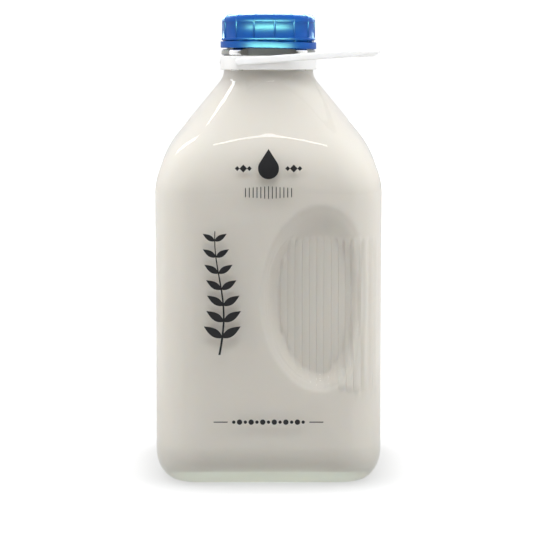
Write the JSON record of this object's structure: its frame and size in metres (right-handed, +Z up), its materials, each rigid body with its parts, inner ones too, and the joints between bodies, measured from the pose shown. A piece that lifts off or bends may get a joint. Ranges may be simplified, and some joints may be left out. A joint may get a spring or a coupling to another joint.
{
  "type": "glass milk bottle",
  "caption": "Square glass milk bottle full of milk, with hand-grip hollows, a ribbed screw cap with a tamper band, and a plastic neck collar with a swinging carrying bail.",
  "frame": {"origin": "on the bottle's upright axis, in the plane that it stands on", "axes": "+Z up the bottle, -Y out of the front face with a grip hollow at its right, +X the side that the grips and the bail reach towards"},
  "size_m": [0.115, 0.116, 0.2369],
  "materials": {
    "glass": "clear flint glass with a faint green cast, polished",
    "milk": "opaque warm white liquid, stands in for milk",
    "cap_plastic": "moulded blue plastic, satin gloss",
    "collar_plastic": "moulded natural white plastic, slightly translucent",
    "bail_plastic": "moulded white plastic"
  },
  "bodies": {
    "vessel": {"bottle": "glass", "milk": "milk", "cap": "cap_plastic"},
    "collar": {"collar": "collar_plastic"},
    "bail": {"bail": "bail_plastic"}
  },
  "joints": [
    {"name": "collar_swivel", "type": "hinge", "parent": "vessel", "child": "collar", "pos_m": [0, 0, 0.2126], "axis": [0, 0, 1], "continuous": true},
    {"name": "bail_lift", "type": "hinge", "parent": "collar", "child": "bail", "pos_m": [-0.015, 0, 0.2126], "axis": [0, -1, 0], "range_deg": [0, 95]}
  ]
}
